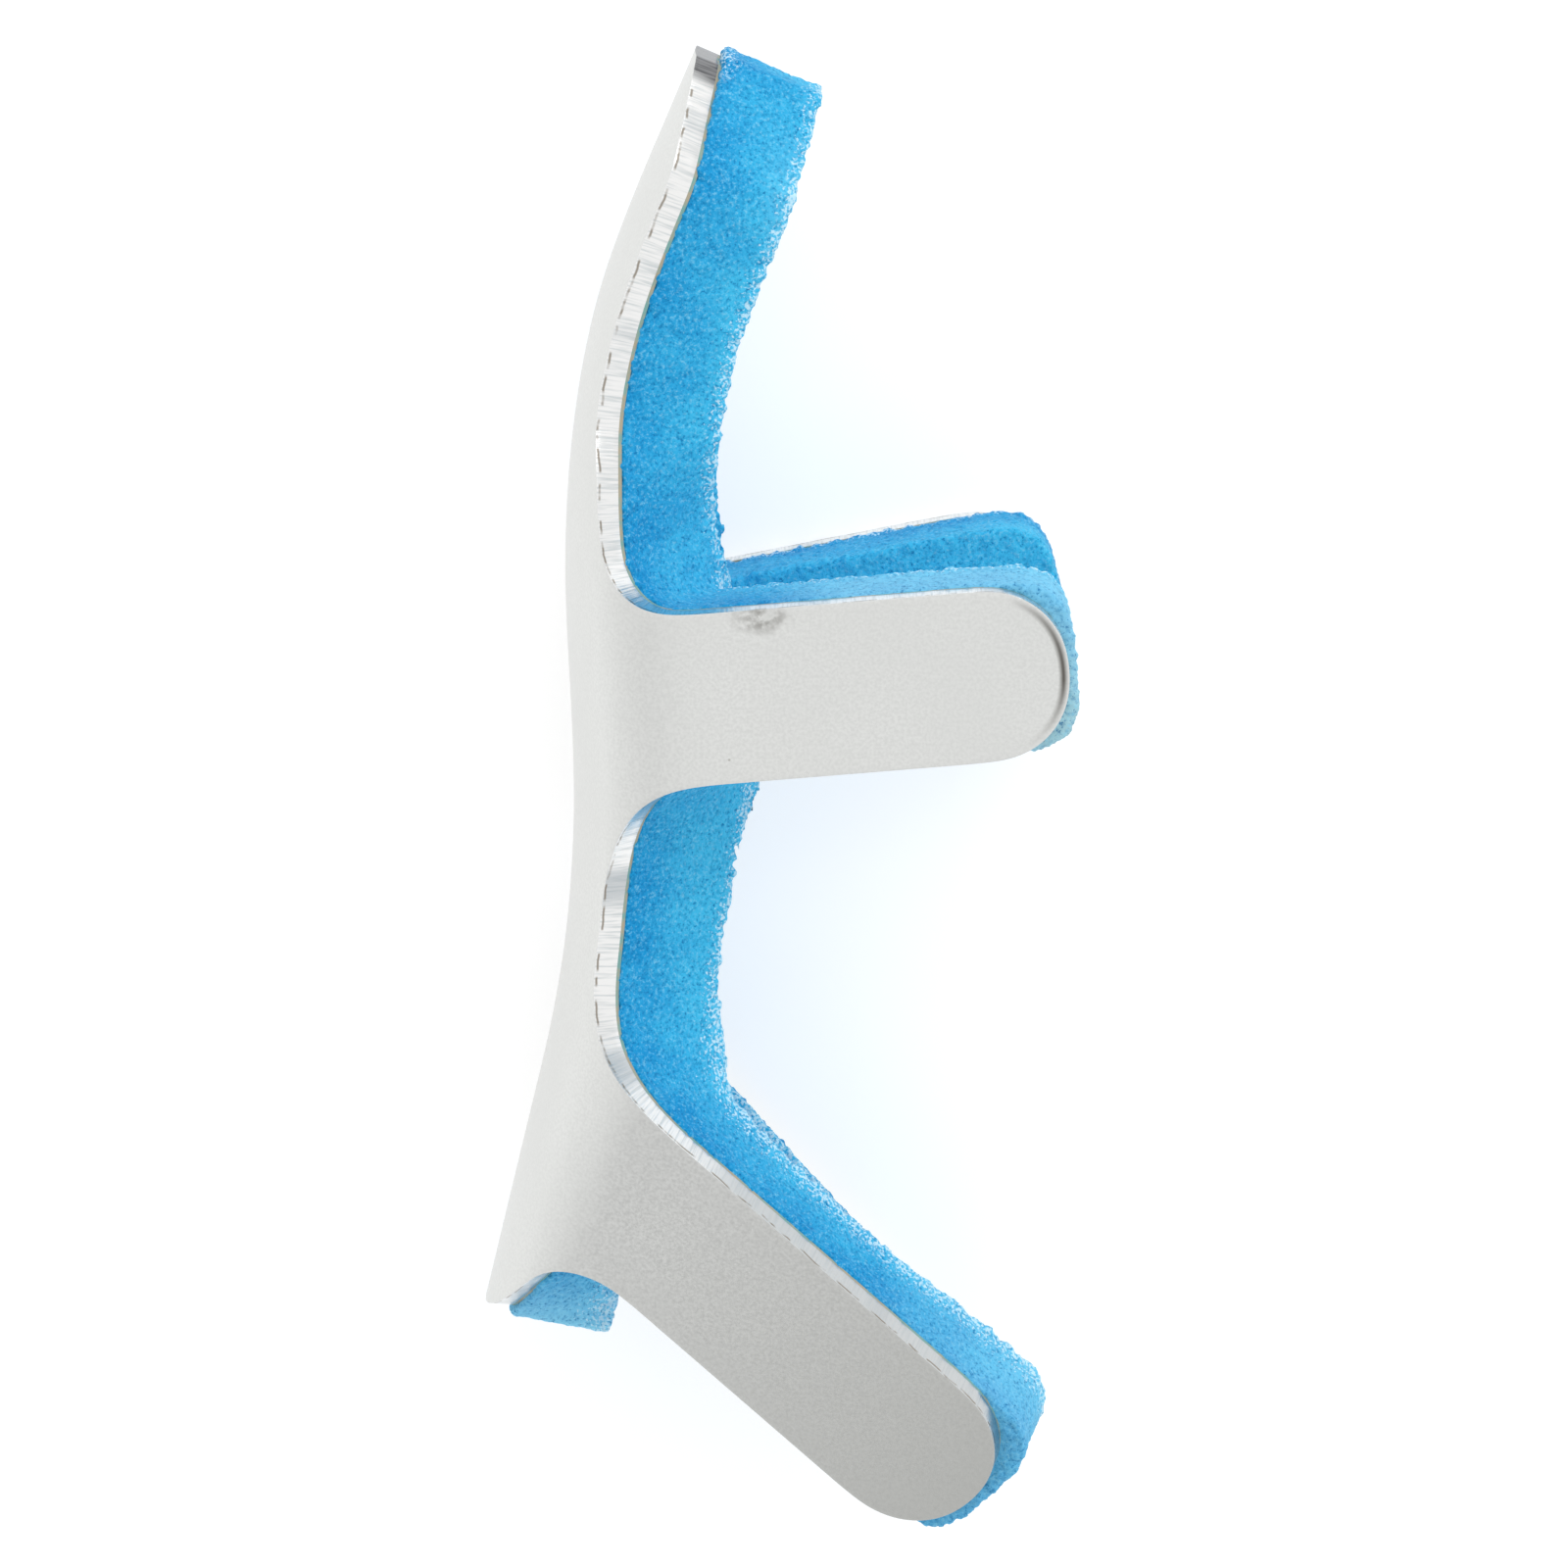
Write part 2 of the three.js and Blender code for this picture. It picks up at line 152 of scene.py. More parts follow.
def finished(piece):
    """The piece with its modifiers applied, as plain mesh."""
    bpy.context.view_layer.update()
    result = bpy.data.meshes.new_from_object(piece.evaluated_get(bpy.context.evaluated_depsgraph_get()))
    piece.modifiers.clear()
    piece.data = result
    return piece


def points_of(mesh):
    """The places of a mesh's vertices, one row each."""
    flat = np.empty(3 * len(mesh.vertices), np.float32)
    mesh.vertices.foreach_get("co", flat)
    return flat.reshape(-1, 3).astype(float)


def finder_of(points):
    """A tree that finds the nearest of some points."""
    finder = kdtree.KDTree(len(points))
    for i, point in enumerate(points):
        finder.insert(point, i)
    finder.balance()
    return finder


def subdivide(piece):
    """Rounds a piece's cage, in two steps of subdivision that keep its creased edges."""
    rounding = piece.modifiers.new("subdivide", "SUBSURF")
    rounding.levels = rounding.render_levels = 2


def keep(mesh, name, values):
    """Stores one number for each vertex under a name that the materials read."""
    mesh.attributes.new(name, "FLOAT", "POINT").data.foreach_set("value", np.asarray(values, np.float32))


shell = cage("aluminium_shell", "aluminium_sheet_bent", sheet_sharp)
corners = points_of(shell.data)
outer_rim = rim_of(shell.data, int(np.argmin(corners[:, 0])))
in_outer = np.zeros(len(corners), bool)
in_outer[outer_rim] = True
creased = np.zeros(len(corners), bool)
for edge, value in zip(shell.data.edges, shell.data.attributes["crease_edge"].data):
    if value.value:
        creased[list(edge.vertices)] = True
wall = [any(in_outer[v] for v in f.vertices) and any(creased[v] and not in_outer[v] for v in f.vertices)
        for f in shell.data.polygons]
shell_cage = shell.data.copy()

subdivide(shell)
rim = shell.modifiers.new("rim", "BEVEL")
rim.width = sheet_rim
rim.segments = 3
rim.limit_method = "ANGLE"
rim.angle_limit = sheet_sharp
rim.material = 1

sheet, tree, shader, place = blank_material("satin_rolled_aluminium")
shell.data.materials.append(sheet)
# Rolled aluminium is a light grey metal, dulled by the rolls to a fine satin grain. It is too fine to
# show here, so it is drawn 0.2 mm coarse.
from_edge = put(tree, "ShaderNodeAttribute", attribute_name="from_edge").outputs["Fac"]
cloud = put(tree, "ShaderNodeTexNoise", {"Vector": place, "Scale": 130.0, "Detail": 2.0})
grain = put(tree, "ShaderNodeTexNoise", {"Vector": place, "Scale": 5200.0, "Detail": 3.0})
tone = put(tree, "ShaderNodeMix", {
    0: cloud.outputs["Fac"], 6: linear("#d8d9d7"), 7: linear("#e1e2e0")}, data_type="RGBA")
sparkle = put(tree, "ShaderNodeMapRange", {
    "Value": grain.outputs["Fac"], "From Min": 0.35, "From Max": 0.65, "To Min": 0.0, "To Max": 1.0})
grained = put(tree, "ShaderNodeMix", {
    0: sparkle.outputs["Result"], 6: linear("#d3d4d2"), 7: tone.outputs[2]}, data_type="RGBA")
# A few dark pits, each about 0.25 mm wide.
pits = put(tree, "ShaderNodeTexVoronoi", {"Vector": place, "Scale": 210.0})
pitted = put(tree, "ShaderNodeMapRange", {
    "Value": pits.outputs["Distance"], "From Min": 0.022, "From Max": 0.03, "To Min": 0.55, "To Max": 0.0})
specked = put(tree, "ShaderNodeMix", {
    0: pitted.outputs["Result"], 6: grained.outputs[2], 7: linear("#7c7668")}, data_type="RGBA")
# Painted shade: the legs are darker towards their ends.
down = put(tree, "ShaderNodeVectorMath", {0: place, 1: leg_way}, operation="DOT_PRODUCT")
painted_leg_end_shade = put(tree, "ShaderNodeMapRange", {
    "Value": down.outputs["Value"], "From Min": 0.011, "From Max": 0.036, "To Min": 0.0, "To Max": 1.0})
specked = put(tree, "ShaderNodeMix", {
    0: painted_leg_end_shade.outputs[0], 6: specked.outputs[2], 7: linear("#c3c4c1")}, data_type="RGBA")
# Painted shade, broken up by noise, in the dent of the kink where the near arm is folded up.
around = put(tree, "ShaderNodeVectorMath", {0: place, 1: kink}, operation="SUBTRACT")
oval = put(tree, "ShaderNodeVectorMath", {
    0: around.outputs[0], 1: [1 / reach for reach in kink_reach]}, operation="MULTIPLY")
away = put(tree, "ShaderNodeVectorMath", {0: oval.outputs[0]}, operation="LENGTH")
patchy = put(tree, "ShaderNodeTexNoise", {"Vector": place, "Scale": 1700.0, "Detail": 3.0})
kink_shade_falloff = put(tree, "ShaderNodeMapRange", {
    "Value": away.outputs["Value"], "From Min": 0.2, "From Max": 1.0, "To Min": 1.0, "To Max": 0.0})
kink_shade_breakup = put(tree, "ShaderNodeMapRange", {
    "Value": patchy.outputs["Fac"], "From Min": 0.4, "From Max": 0.62, "To Min": 0.05, "To Max": 0.75})
painted_kink_shade = put(tree, "ShaderNodeMath", {
    0: kink_shade_falloff.outputs["Result"], 1: kink_shade_breakup.outputs["Result"]}, operation="MULTIPLY")
kink_shaded = put(tree, "ShaderNodeMix", {
    0: painted_kink_shade.outputs[0], 6: specked.outputs[2], 7: linear("#6d6a64")}, data_type="RGBA")
# A painted dark reflection: the line just inside the rim at the near arm's rounded end.
split = put(tree, "ShaderNodeSeparateXYZ", {0: place})
band = put(tree, "ShaderNodeMath", {0: from_edge, 1: 0.00036}, operation="SUBTRACT")
band = put(tree, "ShaderNodeMath", {0: band.outputs[0]}, operation="ABSOLUTE")
line = put(tree, "ShaderNodeMapRange", {
    "Value": band.outputs[0], "From Min": 0.00004, "From Max": 0.0003, "To Min": 0.9, "To Max": 0.0})
for axis, low, high in arm_end_ramps:
    within = put(tree, "ShaderNodeMapRange", {
        "Value": split.outputs[axis], "From Min": low, "From Max": high, "To Min": 0.0, "To Max": 1.0})
    line = put(tree, "ShaderNodeMath", {
        0: line.outputs[0], 1: within.outputs[0]}, operation="MULTIPLY")
painted_rim_reflection = put(tree, "ShaderNodeMix", {
    0: line.outputs[0], 6: kink_shaded.outputs[2], 7: linear("#4a453e")}, data_type="RGBA")
rough = put(tree, "ShaderNodeMapRange", {
    "Value": grain.outputs["Fac"], "From Min": 0.3, "From Max": 0.7, "To Min": 0.36, "To Max": 0.5})
relief = put(tree, "ShaderNodeBump", {
    "Height": grain.outputs["Fac"], "Strength": 0.07, "Distance": 0.00004})
tree.links.new(painted_rim_reflection.outputs[2], shader.inputs["Base Color"])
tree.links.new(rough.outputs[0], shader.inputs["Roughness"])
tree.links.new(relief.outputs[0], shader.inputs["Normal"])
shader.inputs["Metallic"].default_value = 1

edge, tree, shader, place = blank_material("sheared_aluminium_edge")
shell.data.materials.append(edge)
shell.data.polygons.foreach_set("material_index", np.array(wall, np.int32))
# The shear leaves the cut brighter than the face, with fine scores across the thickness. They are
# drawn about 0.15 mm apart so that they show.
along = put(tree, "ShaderNodeAttribute", attribute_name="along").outputs["Fac"]
from_edge = put(tree, "ShaderNodeAttribute", attribute_name="from_edge").outputs["Fac"]
run = put(tree, "ShaderNodeCombineXYZ", {"X": along, "Y": from_edge})
scores = put(tree, "ShaderNodeVectorMath", {0: run.outputs[0], 1: (7000, 350, 0)}, operation="MULTIPLY")
scored = put(tree, "ShaderNodeTexNoise", {"Vector": scores.outputs[0], "Scale": 1.0, "Detail": 2.0})
streak = put(tree, "ShaderNodeMapRange", {
    "Value": scored.outputs["Fac"], "From Min": 0.32, "From Max": 0.55, "To Min": 0.0, "To Max": 1.0})
bright = put(tree, "ShaderNodeMix", {
    0: streak.outputs[0], 6: linear("#ccd1d2"), 7: linear("#ececeb")}, data_type="RGBA")
# Here and there the cut is grey over a millimetre or two.
drags = put(tree, "ShaderNodeVectorMath", {0: run.outputs[0], 1: (190, 0, 0)}, operation="MULTIPLY")
drags = put(tree, "ShaderNodeTexNoise", {"Vector": drags.outputs[0], "Scale": 1.0, "Detail": 1.0})
dragged = put(tree, "ShaderNodeMapRange", {
    "Value": drags.outputs["Fac"], "From Min": 0.56, "From Max": 0.66, "To Min": 0.0, "To Max": 0.6})
bright = put(tree, "ShaderNodeMix", {
    0: dragged.outputs[0], 6: bright.outputs[2], 7: linear("#a3abb0")}, data_type="RGBA")
# The legs' cut is smoother and greyer.
down = put(tree, "ShaderNodeVectorMath", {0: place, 1: leg_way}, operation="DOT_PRODUCT")
greyed = put(tree, "ShaderNodeMapRange", {
    "Value": down.outputs["Value"], "From Min": 0.009, "From Max": 0.014, "To Min": 0.0, "To Max": 0.75})
bright = put(tree, "ShaderNodeMix", {
    0: greyed.outputs[0], 6: bright.outputs[2], 7: linear("#b3b7b8")}, data_type="RGBA")
# The broken burr line runs a little inside the rim, drawn about 0.15 mm wide so that it shows.
stretch = put(tree, "ShaderNodeVectorMath", {0: run.outputs[0], 1: (420, 0, 0)}, operation="MULTIPLY")
wander = put(tree, "ShaderNodeTexNoise", {"Vector": stretch.outputs[0], "Scale": 1.0, "Detail": 3.0})
course = put(tree, "ShaderNodeMapRange", {
    "Value": wander.outputs["Fac"], "From Min": 0.3, "From Max": 0.7, "To Min": 0.00002, "To Max": 0.0003})
off = put(tree, "ShaderNodeMath", {0: from_edge, 1: course.outputs[0]}, operation="SUBTRACT")
off = put(tree, "ShaderNodeMath", {0: off.outputs[0]}, operation="ABSOLUTE")
burr = put(tree, "ShaderNodeMapRange", {
    "Value": off.outputs[0], "From Min": 0.00004, "From Max": 0.0001, "To Min": 0.85, "To Max": 0.0})
gaps = put(tree, "ShaderNodeVectorMath", {0: run.outputs[0], 1: (700, 0, 0)}, operation="MULTIPLY")
gaps = put(tree, "ShaderNodeTexNoise", {"Vector": gaps.outputs[0], "Scale": 1.0, "Detail": 2.0})
broken = put(tree, "ShaderNodeMapRange", {
    "Value": gaps.outputs["Fac"], "From Min": 0.47, "From Max": 0.53, "To Min": 0.0, "To Max": 1.0})
burr = put(tree, "ShaderNodeMath", {0: burr.outputs[0], 1: broken.outputs[0]}, operation="MULTIPLY")
burred = put(tree, "ShaderNodeMix", {
    0: burr.outputs[0], 6: bright.outputs[2], 7: linear("#857b6d")}, data_type="RGBA")
# Painted shade makes the flat end of the tip and its corners dark.
split = put(tree, "ShaderNodeSeparateXYZ", {0: place})
beside = put(tree, "ShaderNodeMath", {0: split.outputs["Z"], 1: middle_height}, operation="SUBTRACT")
beside = put(tree, "ShaderNodeMath", {0: beside.outputs[0]}, operation="ABSOLUTE")
tip_end_shade = put(tree, "ShaderNodeMapRange", {
    "Value": beside.outputs[0], "From Min": 0.0034, "From Max": 0.0041, "To Min": 0.95, "To Max": 0.0})
high = put(tree, "ShaderNodeMath", {0: split.outputs["Y"], 1: tip_height}, operation="GREATER_THAN")
tip_end_shade = put(tree, "ShaderNodeMath", {0: tip_end_shade.outputs[0], 1: high.outputs[0]}, operation="MULTIPLY")
painted_lighting = put(tree, "ShaderNodeMix", {
    0: streak.outputs[0], 6: linear("#47484b"), 7: linear("#7d7e80")}, data_type="RGBA")
tip_end_shaded = put(tree, "ShaderNodeMix", {
    0: tip_end_shade.outputs[0], 6: burred.outputs[2], 7: painted_lighting.outputs[2]}, data_type="RGBA")
relief = put(tree, "ShaderNodeBump", {
    "Height": scored.outputs["Fac"], "Strength": 0.35, "Distance": 0.00006})
tree.links.new(tip_end_shaded.outputs[2], shader.inputs["Base Color"])
tree.links.new(relief.outputs[0], shader.inputs["Normal"])
shader.inputs["Metallic"].default_value = 1
shader.inputs["Roughness"].default_value = 0.3

finished(shell)
places = points_of(shell.data)
rim_points, rim_lengths = rounded_loop(corners[outer_rim], 3)
rim_ahead = np.roll(rim_points, -1, 0) - np.roll(rim_points, 1, 0)
rim_ahead /= np.linalg.norm(rim_ahead, axis=1)[:, None]
finder = finder_of(rim_points)
found = np.array([finder.find(p)[1] for p in places])
off_rim = places - rim_points[found]
past = np.einsum("ij,ij->i", off_rim, rim_ahead[found])
keep(shell.data, "along", rim_lengths[found] + past)
keep(shell.data, "from_edge", np.linalg.norm(off_rim - past[:, None] * rim_ahead[found], axis=1))
away = np.linalg.norm((places - np.array(kink)) / np.array(kink_reach), axis=1)
places[:, 2] -= kink_depth * np.clip(1 - away ** 2, 0, 1) ** 2
shell.data.vertices.foreach_set("co", places.ravel())
shell.data.shade_smooth()
shell.data.set_sharp_from_angle(angle=math.radians(40))
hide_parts("aluminium_shell")
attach(shell, "root")

# Adhesive film
# A thin film of tan acrylic adhesive that bonds the pad to the sheet's inner face before the blank is cut.
# Only its edge shows, as a thin uneven line between the metal and the foam.
film_thickness = 0.00022
film = bpy.data.objects.new("adhesive_film_line", shell_cage)
scene.collection.objects.link(film)
edit = bmesh.new()
edit.from_mesh(shell_cage)
edit.faces.ensure_lookup_table()
bmesh.ops.delete(edit, geom=[edit.faces[i] for i in np.flatnonzero(wall)], context="FACES")
edit.verts.ensure_lookup_table()
outer_skin = [edit.verts[outer_rim[0]]]
reached = set(outer_skin)
for vertex in outer_skin:
    beyond = [e.other_vert(vertex) for e in vertex.link_edges]
    outer_skin += [v for v in beyond if v not in reached]
    reached.update(beyond)
bmesh.ops.delete(edit, geom=outer_skin, context="VERTS")
edit.to_mesh(shell_cage)
edit.free()
subdivide(film)
thicken = film.modifiers.new("thicken", "SOLIDIFY")
thicken.thickness = film_thickness
thicken.offset = 1

glue, tree, shader, place = blank_material("acrylic_adhesive_film")
film.data.materials.append(glue)
# Cured adhesive is a dull tan, tinted green where the blue foam shows through it.
patches = put(tree, "ShaderNodeTexNoise", {"Vector": place, "Scale": 900.0, "Detail": 3.0})
spread = put(tree, "ShaderNodeMapRange", {
    "Value": patches.outputs["Fac"], "From Min": 0.4, "From Max": 0.6, "To Min": 0.0, "To Max": 1.0})
tint = put(tree, "ShaderNodeMix", {
    0: spread.outputs[0], 6: linear("#6f9c97"), 7: linear("#a29a84")}, data_type="RGBA")
tree.links.new(tint.outputs[2], shader.inputs["Base Color"])
shader.inputs["Roughness"].default_value = 0.55
finished(film)
film.data.shade_smooth()
film.data.set_sharp_from_angle(angle=math.radians(40))
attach(film, "root")

# Foam pad
# Open-cell polyurethane foam, about 6 mm thick, cut to the blank's outline and bonded to the sheet. It is
# one cut block, so it is made by remeshing its solid and opening its cells, without a cloth simulation.
foam_sharp = math.radians(60)
foam_voxel = 0.00017
cell_width = 0.00036
pore_depth = 0.00008
fray_depth = 0.0003
tip_way = (0.39, 0.92, 0)  # square to the pad's cut end at the tip
pale_end_place = (0.0175, 0.0058, 0.022)
crumb_points = 1000.0
near_arm_ramps = (("X", -0.001, 0.004), ("Y", -0.014, 0.0))

pad = cage("foam_pad", "foam_pad_bonded", foam_sharp)
foam_corners = points_of(pad.data)
cut_edges = np.array([
    list(e.vertices) for e, c in zip(pad.data.edges, pad.data.attributes["crease_edge"].data) if c.value])
subdivide(pad)
remesh = pad.modifiers.new("remesh", "REMESH")
remesh.mode = "VOXEL"
remesh.voxel_size = foam_voxel
even = pad.modifiers.new("even", "SMOOTH")
even.factor = 0.5
even.iterations = 2
finished(pad)

places = points_of(pad.data)
metal = BVHTree.FromPolygons(
    points_of(shell.data).tolist(), [list(f.vertices) for f in shell.data.polygons])
keep(pad.data, "from_metal", [metal.find_nearest(p)[3] for p in places])
starts, ends = foam_corners[cut_edges[:, 0]], foam_corners[cut_edges[:, 1]]
cuts = np.concatenate([starts * (1 - share) + ends * share for share in np.linspace(0, 1, 6)])
finder = finder_of(cuts)
keep(pad.data, "from_rim", [finder.find(p)[2] for p in places])

foam, tree, shader, place = blank_material("open_cell_polyurethane_foam")
# Reticulated foam is matt: small dark pores between bright struts, with pale frayed cells where the free
# edges were cut, and painted shade that makes it darkest near the metal. The cells are 0.3 to 0.4 mm wide
# and the struts and the grit between them 0.2 mm.
from_metal = put(tree, "ShaderNodeAttribute", attribute_name="from_metal").outputs["Fac"]
from_rim = put(tree, "ShaderNodeAttribute", attribute_name="from_rim").outputs["Fac"]
# Painted shade: darker towards the metal, its edge wavered by noise.
mottle = put(tree, "ShaderNodeTexNoise", {"Vector": place, "Scale": 300.0, "Detail": 3.0})
depth = put(tree, "ShaderNodeMath", {0: mottle.outputs["Fac"], 1: 0.5}, operation="SUBTRACT")
depth = put(tree, "ShaderNodeMath", {0: depth.outputs[0], 1: 0.009}, operation="MULTIPLY")
depth = put(tree, "ShaderNodeMath", {0: from_metal, 1: depth.outputs[0]}, operation="ADD")
painted_metal_shade = put(tree, "ShaderNodeMapRange", {
    "Value": depth.outputs[0], "From Min": 0.0002, "From Max": 0.0062, "To Min": 0.0, "To Max": 1.0})
body = put(tree, "ShaderNodeMix", {
    0: painted_metal_shade.outputs[0], 6: linear("#1590cb"), 7: linear("#3cb6e2")}, data_type="RGBA")
# Painted light: the pad is paler along the near arm and at the tail.
split = put(tree, "ShaderNodeSeparateXYZ", {0: place})
upper = put(tree, "ShaderNodeMapRange", {
    "Value": split.outputs["Z"], "From Min": 0.0165, "From Max": 0.0195, "To Min": 0.0, "To Max": 0.6})
for axis, low, high in near_arm_ramps:
    within = put(tree, "ShaderNodeMapRange", {
        "Value": split.outputs[axis], "From Min": low, "From Max": high, "To Min": 0.0, "To Max": 1.0})
    upper = put(tree, "ShaderNodeMath", {0: upper.outputs[0], 1: within.outputs[0]}, operation="MULTIPLY")
tail = put(tree, "ShaderNodeMapRange", {
    "Value": split.outputs["Y"], "From Min": -0.027, "From Max": -0.034, "To Min": 0.0, "To Max": 0.95})
inward = put(tree, "ShaderNodeMapRange", {
    "Value": split.outputs["X"], "From Min": -0.008, "From Max": -0.004, "To Min": 1.0, "To Max": 0.4})
tail = put(tree, "ShaderNodeMath", {0: tail.outputs[0], 1: inward.outputs[0]}, operation="MULTIPLY")
painted_lighting = put(tree, "ShaderNodeMath", {0: upper.outputs[0], 1: tail.outputs[0]}, operation="MAXIMUM")
body = put(tree, "ShaderNodeMix", {
    0: painted_lighting.outputs[0], 6: body.outputs[2], 7: linear("#8cd2ee")}, data_type="RGBA")
# The end of the near arm's pad is a paler teal.
pale_end_gap = put(tree, "ShaderNodeVectorMath", {0: place, 1: pale_end_place}, operation="DISTANCE")
pale_end = put(tree, "ShaderNodeMapRange", {
    "Value": pale_end_gap.outputs["Value"], "From Min": 0.002, "From Max": 0.0085, "To Min": 0.8, "To Max": 0.0})
body = put(tree, "ShaderNodeMix", {
    0: pale_end.outputs[0], 6: body.outputs[2], 7: linear("#a9cdd1")}, data_type="RGBA")
pores = put(tree, "ShaderNodeTexVoronoi", {"Vector": place, "Scale": 1 / cell_width})
grit = put(tree, "ShaderNodeTexNoise", {"Vector": place, "Scale": 4400.0, "Detail": 3.0, "Roughness": 0.75})
pore = put(tree, "ShaderNodeMapRange", {
    "Value": pores.outputs["Distance"], "From Min": 0.1, "From Max": 0.5, "To Min": 0.4, "To Max": 0.0})
deep = put(tree, "ShaderNodeMix", {
    0: pore.outputs[0], 6: body.outputs[2], 7: linear("#0b72a9")}, data_type="RGBA")
dark = put(tree, "ShaderNodeMapRange", {
    "Value": grit.outputs["Fac"], "From Min": 0.45, "From Max": 0.32, "To Min": 0.0, "To Max": 0.85})
pitted = put(tree, "ShaderNodeMix", {
    0: dark.outputs[0], 6: deep.outputs[2], 7: linear("#0765a0")}, data_type="RGBA")
strut = put(tree, "ShaderNodeMapRange", {
    "Value": grit.outputs["Fac"], "From Min": 0.53, "From Max": 0.68, "To Min": 0.0, "To Max": 0.6})
lit = put(tree, "ShaderNodeMix", {
    0: strut.outputs[0], 6: pitted.outputs[2], 7: linear("#86cbe6")}, data_type="RGBA")
# The free edges fray, and so do the pad's end at the tip and the far arm's edge along the metal.
free = put(tree, "ShaderNodeMapRange", {
    "Value": from_metal, "From Min": 0.0025, "From Max": 0.0045, "To Min": 0.0, "To Max": 1.0})
bonded = put(tree, "ShaderNodeMapRange", {
    "Value": from_metal, "From Min": 0.0008, "From Max": 0.002, "To Min": 1.0, "To Max": 0.0})
far_arm = put(tree, "ShaderNodeMapRange", {
    "Value": split.outputs["Z"], "From Min": 0.0085, "From Max": 0.0105, "To Min": 1.0, "To Max": 0.0})
above = put(tree, "ShaderNodeMapRange", {
    "Value": split.outputs["Y"], "From Min": 0.001, "From Max": 0.006, "To Min": 0.0, "To Max": 1.0})
far_arm = put(tree, "ShaderNodeMath", {0: far_arm.outputs[0], 1: above.outputs[0]}, operation="MULTIPLY")
free = put(tree, "ShaderNodeMix", {
    0: far_arm.outputs[0], 2: free.outputs[0], 3: bonded.outputs[0]}, data_type="FLOAT")
height = put(tree, "ShaderNodeVectorMath", {0: place, 1: tip_way}, operation="DOT_PRODUCT")
tip = put(tree, "ShaderNodeMapRange", {
    "Value": height.outputs["Value"], "From Min": 0.0386, "From Max": 0.0396, "To Min": 0.0, "To Max": 1.0})
free = put(tree, "ShaderNodeMath", {0: free.outputs[0], 1: tip.outputs[0]}, operation="MAXIMUM")
flecks = put(tree, "ShaderNodeTexNoise", {"Vector": place, "Scale": 5200.0, "Detail": 2.0})
narrow = put(tree, "ShaderNodeMapRange", {
    "Value": split.outputs["Y"], "From Min": -0.014, "From Max": -0.008, "To Min": 100.0, "To Max": 210.0})
sparse = put(tree, "ShaderNodeMath", {0: from_rim, 1: narrow.outputs[0]}, operation="MULTIPLY")
fleck = put(tree, "ShaderNodeMath", {0: flecks.outputs["Fac"], 1: sparse.outputs[0]}, operation="SUBTRACT")
fleck = put(tree, "ShaderNodeMapRange", {
    "Value": fleck.outputs[0], "From Min": 0.4, "From Max": 0.53, "To Min": 0.0, "To Max": 0.75})
frayed = put(tree, "ShaderNodeMath", {0: fleck.outputs[0], 1: free.outputs[0]}, operation="MULTIPLY")
pale = put(tree, "ShaderNodeMix", {
    0: frayed.outputs[0], 6: lit.outputs[2], 7: linear("#cdeaf6")}, data_type="RGBA")
relief = put(tree, "ShaderNodeBump", {
    "Height": grit.outputs["Fac"], "Strength": 0.6, "Distance": 0.00012})
tree.links.new(pale.outputs[2], shader.inputs["Base Color"])
tree.links.new(relief.outputs[0], shader.inputs["Normal"])
shader.inputs["Roughness"].default_value = 0.95
shader.inputs["Specular IOR Level"].default_value = 0.2
shader.inputs["Sheen Weight"].default_value = 0.15
shader.inputs["Sheen Roughness"].default_value = 0.4
shader.inputs["Sheen Tint"].default_value = linear("#d6f0fb")

cells = bpy.data.node_groups.new("open_cells", "GeometryNodeTree")
cells.interface.new_socket("Geometry", in_out="INPUT", socket_type="NodeSocketGeometry")
widths = cells.interface.new_socket("Cell Width", in_out="INPUT", socket_type="NodeSocketFloat")
depths = cells.interface.new_socket("Pore Depth", in_out="INPUT", socket_type="NodeSocketFloat")
frays = cells.interface.new_socket("Fray Depth", in_out="INPUT", socket_type="NodeSocketFloat")
seeds = cells.interface.new_socket("Seed", in_out="INPUT", socket_type="NodeSocketFloat")
finishes = cells.interface.new_socket("Material", in_out="INPUT", socket_type="NodeSocketMaterial")
cells.interface.new_socket("Geometry", in_out="OUTPUT", socket_type="NodeSocketGeometry")
given = put(cells, "NodeGroupInput").outputs
where = put(cells, "GeometryNodeInputPosition").outputs[0]
facing = put(cells, "GeometryNodeInputNormal").outputs[0]
# Crumbs that the remesh leaves beside a rim are taken off: an island of under a thousand points.
island = put(cells, "GeometryNodeInputMeshIsland").outputs["Island Index"]
crumbs = put(cells, "GeometryNodeAccumulateField", {"Value": 1.0, "Group ID": island}, domain="POINT")
small = put(cells, "ShaderNodeMath", {0: crumbs.outputs["Total"], 1: crumb_points}, operation="LESS_THAN")
whole = put(cells, "GeometryNodeDeleteGeometry", {
    "Geometry": given["Geometry"], "Selection": small.outputs[0]}, domain="POINT")
near_rim = put(cells, "GeometryNodeInputNamedAttribute", {"Name": "from_rim"}, data_type="FLOAT").outputs[0]
per_metre = put(cells, "ShaderNodeMath", {0: 1.0, 1: given["Cell Width"]}, operation="DIVIDE")
pores = put(cells, "ShaderNodeTexVoronoi", {"Vector": where, "Scale": per_metre.outputs[0]})
rise = put(cells, "ShaderNodeMapRange", {
    "Value": pores.outputs["Distance"], "From Min": 0.15, "From Max": 0.75, "To Min": -0.6, "To Max": 0.6})
rise = put(cells, "ShaderNodeMath", {0: rise.outputs[0], 1: given["Pore Depth"]}, operation="MULTIPLY")
torn = put(cells, "ShaderNodeTexNoise", {
    "Vector": where, "W": given["Seed"], "Scale": 1500.0, "Detail": 2.0}, noise_dimensions="4D")
torn = put(cells, "ShaderNodeMath", {0: torn.outputs[0], 1: 0.42}, operation="SUBTRACT")
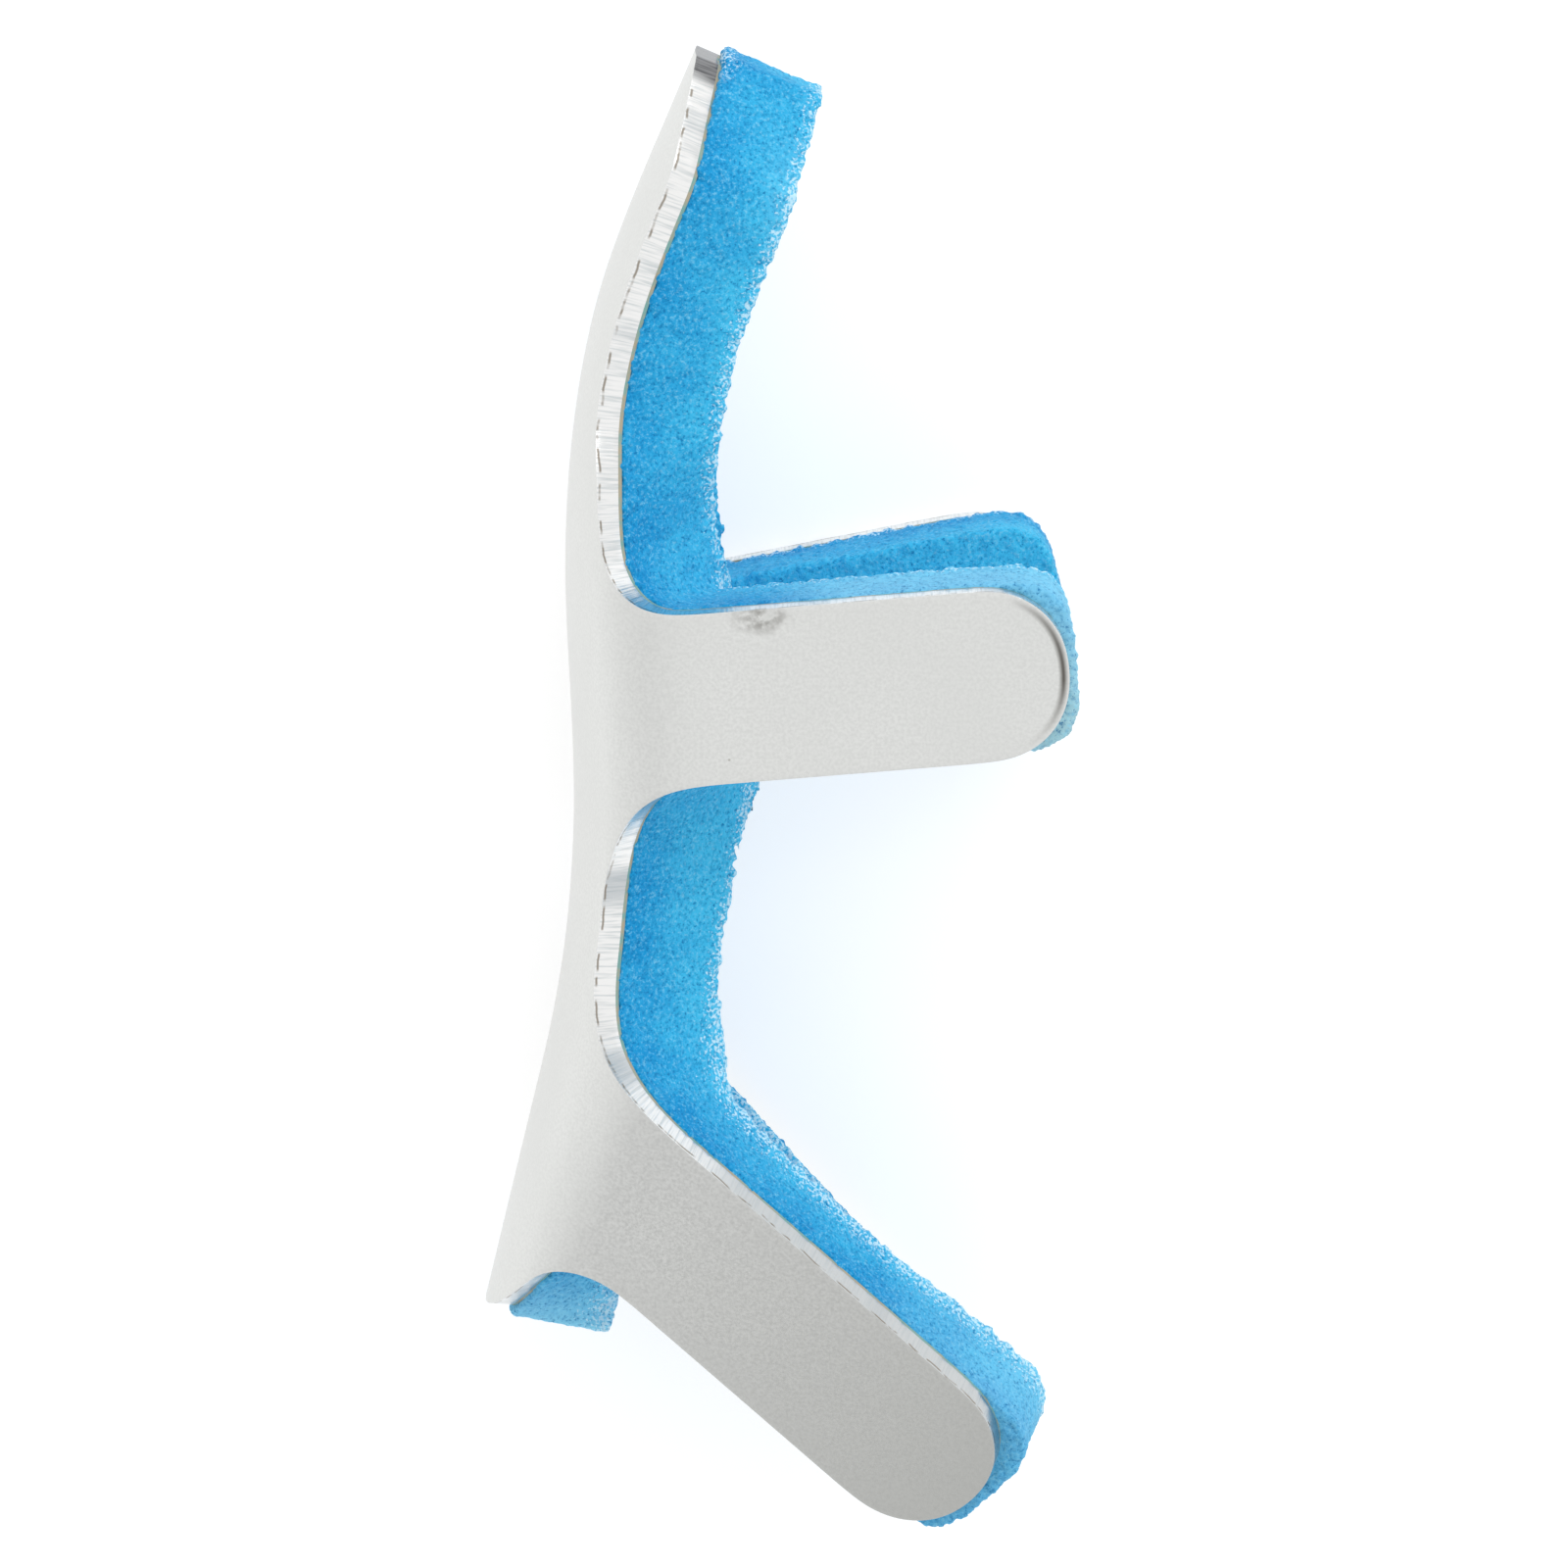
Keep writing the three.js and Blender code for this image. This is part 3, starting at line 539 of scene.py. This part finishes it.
torn = put(cells, "ShaderNodeMath", {0: torn.outputs[0], 1: given["Fray Depth"]}, operation="MULTIPLY")
close = put(cells, "ShaderNodeMapRange", {
    "Value": near_rim, "From Min": 0.0, "From Max": 0.0012, "To Min": 3.0, "To Max": 1.0})
torn = put(cells, "ShaderNodeMath", {0: torn.outputs[0], 1: close.outputs[0]}, operation="MULTIPLY")
shift = put(cells, "ShaderNodeMath", {0: rise.outputs[0], 1: torn.outputs[0]}, operation="ADD")
shift = put(cells, "ShaderNodeVectorMath", {0: facing, "Scale": shift.outputs[0]}, operation="SCALE")
moved = put(cells, "GeometryNodeSetPosition", {"Geometry": whole.outputs[0], "Offset": shift.outputs[0]})
real = put(cells, "GeometryNodeRealizeInstances", {"Geometry": moved.outputs[0]})
dressed = put(cells, "GeometryNodeSetMaterial", {
    "Geometry": real.outputs[0], "Material": given["Material"]})
put(cells, "NodeGroupOutput", {"Geometry": dressed.outputs[0]})
opened = pad.modifiers.new("cells", "NODES")
opened.node_group = cells
opened[widths.identifier] = cell_width
opened[depths.identifier] = pore_depth
opened[frays.identifier] = fray_depth
opened[seeds.identifier] = 3.0
opened[finishes.identifier] = foam
finished(pad)
pad.data.shade_smooth()
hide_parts("foam_pad")
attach(pad, "root")

# Floor and light
# A light table of white acrylic, so that the splint lies on white with hardly a shadow. A soft lamp
# stands past the tip, the white room is greyer there, and a grey flag hangs past the tail.
flag_way = (-0.4, -0.67, 0.62)
floor_mesh = bpy.data.meshes.new("floor")
floor_mesh.from_pydata([(-2, -2, 0), (2, -2, 0), (2, 2, 0), (-2, 2, 0)], [], [(0, 1, 2, 3)])
floor = bpy.data.objects.new("floor", floor_mesh)
scene.collection.objects.link(floor)
table, tree, shader, place = blank_material("white_acrylic_light_table")
shader.inputs["Base Color"].default_value = linear("#bcbcbc")
shader.inputs["Roughness"].default_value = 0.9
shader.inputs["Emission Color"].default_value = linear("#ffffff")
shader.inputs["Emission Strength"].default_value = 0.6
floor_mesh.materials.append(table)

world = bpy.data.worlds.new("studio")
scene.world = world
world.use_nodes = True
tree = world.node_tree
towards = put(tree, "ShaderNodeTexCoord").outputs["Generated"]
split = put(tree, "ShaderNodeSeparateXYZ", {0: towards})
# The flag is on the spine's side and darkens the metal of the near leg, which mirrors it.
flag = put(tree, "ShaderNodeVectorMath", {0: towards, 1: flag_way}, operation="DISTANCE")
tail = put(tree, "ShaderNodeMapRange", {
    "Value": flag.outputs["Value"], "From Min": 0.15, "From Max": 0.6, "To Min": 0.64, "To Max": 1.05})
spine = put(tree, "ShaderNodeMapRange", {
    "Value": split.outputs["X"], "From Min": -0.3, "From Max": -1.0, "To Min": 1.0, "To Max": 0.98})
tip = put(tree, "ShaderNodeMapRange", {
    "Value": split.outputs["Y"], "From Min": 0.1, "From Max": 0.7, "To Min": 1.0, "To Max": 0.78})
white = put(tree, "ShaderNodeMath", {0: tail.outputs[0], 1: spine.outputs[0]}, operation="MULTIPLY")
white = put(tree, "ShaderNodeMath", {0: white.outputs[0], 1: tip.outputs[0]}, operation="MULTIPLY")
tree.links.new(white.outputs[0], tree.nodes["Background"].inputs["Strength"])
tree.nodes["Background"].inputs["Color"].default_value = (1, 1, 1, 1)
key = bpy.data.lights.new("key", "AREA")
key.shape = "DISK"
key.size = 0.5
key.energy = 2
lamp = bpy.data.objects.new("key", key)
lamp.location = (0.2, 0.6, 0.45)
lamp.rotation_euler = (look - lamp.location).to_track_quat("-Z", "Y").to_euler()
scene.collection.objects.link(lamp)
